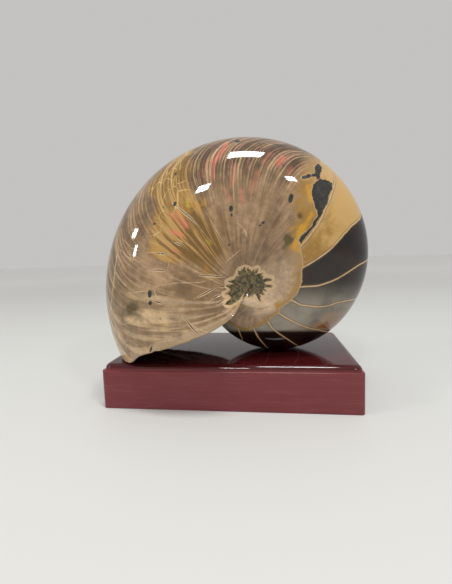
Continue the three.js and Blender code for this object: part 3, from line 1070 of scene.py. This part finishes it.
# the plinth, mm
plinthForm = {
    "width": 200.0,
    "depth": 119.0,
    "height": 35.5,
    "corner": 3.3,
    "blockRound": 0.8,
    "ledge": 0.8,
    "moulding": 4.6,
    "capCorner": 7.1,
    "capOverlap": 10.6,
    "segments": 8,
}


def pickEdges(piece, test):  # selects the edges whose two ends pass the test
    bpy.ops.object.mode_set(mode="EDIT")
    bpy.ops.mesh.select_all(action="DESELECT")
    bpy.ops.mesh.select_mode(type="EDGE")
    bpy.ops.object.mode_set(mode="OBJECT")
    for edge in piece.data.edges:
        ends = [piece.data.vertices[index].co for index in edge.vertices]
        edge.select = test(*ends)
    bpy.ops.object.mode_set(mode="EDIT")


def addSlab(name, size, heights, corner, edgeRound):
    width, depth = size
    bottom, top = heights
    bpy.ops.object.select_all(action="DESELECT")
    bpy.ops.mesh.primitive_cube_add(size=1, location=(0, 0, (bottom + top) / 2000))
    slab = bpy.context.object
    slab.name = name
    slab.scale = (width / 1000, depth / 1000, (top - bottom) / 1000)
    bpy.ops.object.transform_apply(location=True, rotation=True, scale=True)
    pickEdges(slab, lambda a, b: abs(a.z - b.z) > 1e-4)
    bpy.ops.mesh.bevel(offset=corner / 1000, segments=plinthForm["segments"], affect="EDGES")
    bpy.ops.object.mode_set(mode="OBJECT")
    pickEdges(slab, lambda a, b: abs(a.z - b.z) < 1e-6)
    bpy.ops.mesh.bevel(offset=edgeRound / 1000, segments=plinthForm["segments"], affect="EDGES")
    bpy.ops.object.mode_set(mode="OBJECT")
    return slab


def buildPlinth():
    form = plinthForm
    blockSize = (form["width"], form["depth"])
    blockHeights = (0, form["height"] - form["moulding"])
    block = addSlab("lacquerPlinth", blockSize, blockHeights, form["corner"], form["blockRound"])
    capSize = (form["width"] - 2 * form["ledge"], form["depth"] - 2 * form["ledge"])
    capHeights = (form["height"] - form["capOverlap"] - form["moulding"], form["height"])
    cap = addSlab("plinthCap", capSize, capHeights, form["capCorner"], form["moulding"])
    bpy.ops.object.select_all(action="DESELECT")
    bpy.context.view_layer.objects.active = block
    block.select_set(True)
    joint = block.modifiers.new("capJoint", "BOOLEAN")
    joint.operation = "UNION"
    joint.solver = "EXACT"
    joint.object = cap
    bpy.ops.object.modifier_apply(modifier="capJoint")
    bpy.data.objects.remove(cap)
    bpy.ops.object.shade_smooth_by_angle(angle=math.radians(40))
    block.select_set(False)
    print("plinth built", len(block.data.polygons))
    return block


# dark red lacquer over wood
lacquerFinish = {
    "red": (0.18, 0.034, 0.041),
    "redDark": (0.155, 0.02, 0.025),
    "redLight": (0.23, 0.052, 0.06),
    # painted shade and painted reflection: the darker red of the top and its moulding
    "redTopPaintedShade": (0.06, 0.0065, 0.0075),
    "grainStretch": (0.06, 1.0, 1.0),
    "grainScale": 900,
    "figureScale": 90,
    "topFrom": 0.0306,  # metres up; more coats make the top glossier, and its darker red is painted shade and painted reflection of the shell over it
    "topTo": 0.0335,
    "satin": 0.2,
    "gloss": 0.05,
    "indexOfRefraction": 1.45,
    "bumpStrength": 0.05,
    "bumpHeight": 0.0003,
}


def lacquerMaterial():
    finish = lacquerFinish
    material, tree, shader, where = startMaterial("redLacquer")
    stretch = addNode(tree, "ShaderNodeMapping")
    stretch.inputs["Scale"].default_value = finish["grainStretch"]
    feed(tree, stretch.inputs["Vector"], where)
    grain = grainNoise(tree, stretch.outputs[0], finish["grainScale"], 4, 0.6)
    figure = grainNoise(tree, stretch.outputs[0], finish["figureScale"], 4, 0.55, 0.6)
    colour = blendColour(tree, fade(tree, figure, 0.2, 0.8), finish["redDark"], finish["red"])
    colour = blendColour(tree, fade(tree, grain, 0.5, 0.75, 0, 0.6), colour, finish["redLight"])
    height = addNode(tree, "ShaderNodeSeparateXYZ")
    feed(tree, height.inputs[0], where)
    # painted shade and painted reflection: above topFrom the lacquer turns a darker red, and the same mask
    # makes it glossier
    glossAndPaintedShadeTop = fade(tree, height.outputs[2], finish["topFrom"], finish["topTo"])
    colour = blendColour(tree, glossAndPaintedShadeTop, colour, finish["redTopPaintedShade"])
    feed(tree, shader.inputs["Base Color"], colour)
    feed(tree, shader.inputs["Roughness"], blendValue(tree, glossAndPaintedShadeTop, finish["satin"], finish["gloss"]))
    shader.inputs["IOR"].default_value = finish["indexOfRefraction"]
    addBump(tree, shader, grain, finish["bumpStrength"], finish["bumpHeight"])
    return material


plinth = buildPlinth()
plinth.data.materials.clear()
plinth.data.materials.append(lacquerMaterial())
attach(plinth, "root")
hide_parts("plinth")
print("plinth finished")


# a wide floor, metres, paler further off so that it runs into the room's light
floorForm = {
    "radius": 40.0,
    "sides": 96,
    "pale": (0.615, 0.622, 0.602),
    "paleWarm": (0.632, 0.635, 0.61),
    "farPale": (0.95, 0.945, 0.93),
    "farFrom": 0.3,
    "farTo": 3.0,
    "roughness": 0.6,
}


def buildFloor():
    form = floorForm
    bpy.ops.object.select_all(action="DESELECT")
    bpy.ops.mesh.primitive_circle_add(vertices=form["sides"], radius=form["radius"], fill_type="NGON")
    floor = bpy.context.object
    floor.name = "paleFloor"
    material, tree, shader, where = startMaterial("paleFloor")
    soft = grainNoise(tree, where, 1.5, 2)
    near = blendColour(tree, fade(tree, soft, 0.3, 0.7), form["pale"], form["paleWarm"])
    distance = addNode(tree, "ShaderNodeVectorMath", operation="LENGTH")
    feed(tree, distance.inputs[0], where)
    far = fade(tree, distance.outputs["Value"], form["farFrom"], form["farTo"])
    feed(tree, shader.inputs["Base Color"], blendColour(tree, far, near, form["farPale"]))
    shader.inputs["Roughness"].default_value = form["roughness"]
    floor.data.materials.append(material)
    floor.select_set(False)


# soft studio light: where each panel hangs, what it faces, its size and power
panels = {
    "overhead": {"place": (0.2, -0.33, 1.6), "size": (0.46, 0.3), "power": 13.0, "level": True},
    "frontLeft": {"place": (-0.16, -1.08, 1.12), "size": (0.17, 0.12), "power": 3.2, "level": False},
    "frontRight": {"place": (0.9, -0.9, 1.12), "size": (0.14, 0.12), "power": 2.8, "level": False},
    "leftHigh": {"place": (-1.25, -0.55, 0.75), "size": (0.16, 0.12), "power": 2.4, "level": False},
    "leftLow": {"place": (-1.2, -0.8, 0.55), "size": (0.09, 0.13), "power": 1.4, "level": False},
}
room = {
    "colour": (1.0, 0.985, 0.96),
    "bright": 0.55,
    "target": (0.0, 0.0, 0.11),
}


def lightStudio():
    scene = bpy.context.scene
    for name, panel in panels.items():
        bpy.ops.object.light_add(type="AREA", location=panel["place"])
        light = bpy.context.object
        light.name = name
        light.data.shape = "RECTANGLE"
        light.data.size, light.data.size_y = panel["size"]
        light.data.energy = panel["power"]
        if not panel["level"]:
            aim = Vector(room["target"]) - Vector(panel["place"])
            light.rotation_euler = aim.to_track_quat("-Z", "Y").to_euler()
        light.select_set(False)
    world = bpy.data.worlds.new("paleRoom")
    world.use_nodes = True
    scene.world = world
    background = world.node_tree.nodes["Background"]
    background.inputs["Color"].default_value = (*room["colour"], 1.0)
    background.inputs["Strength"].default_value = room["bright"]
    scene.view_settings.view_transform = "Standard"


buildFloor()
lightStudio()
print("studio lit")
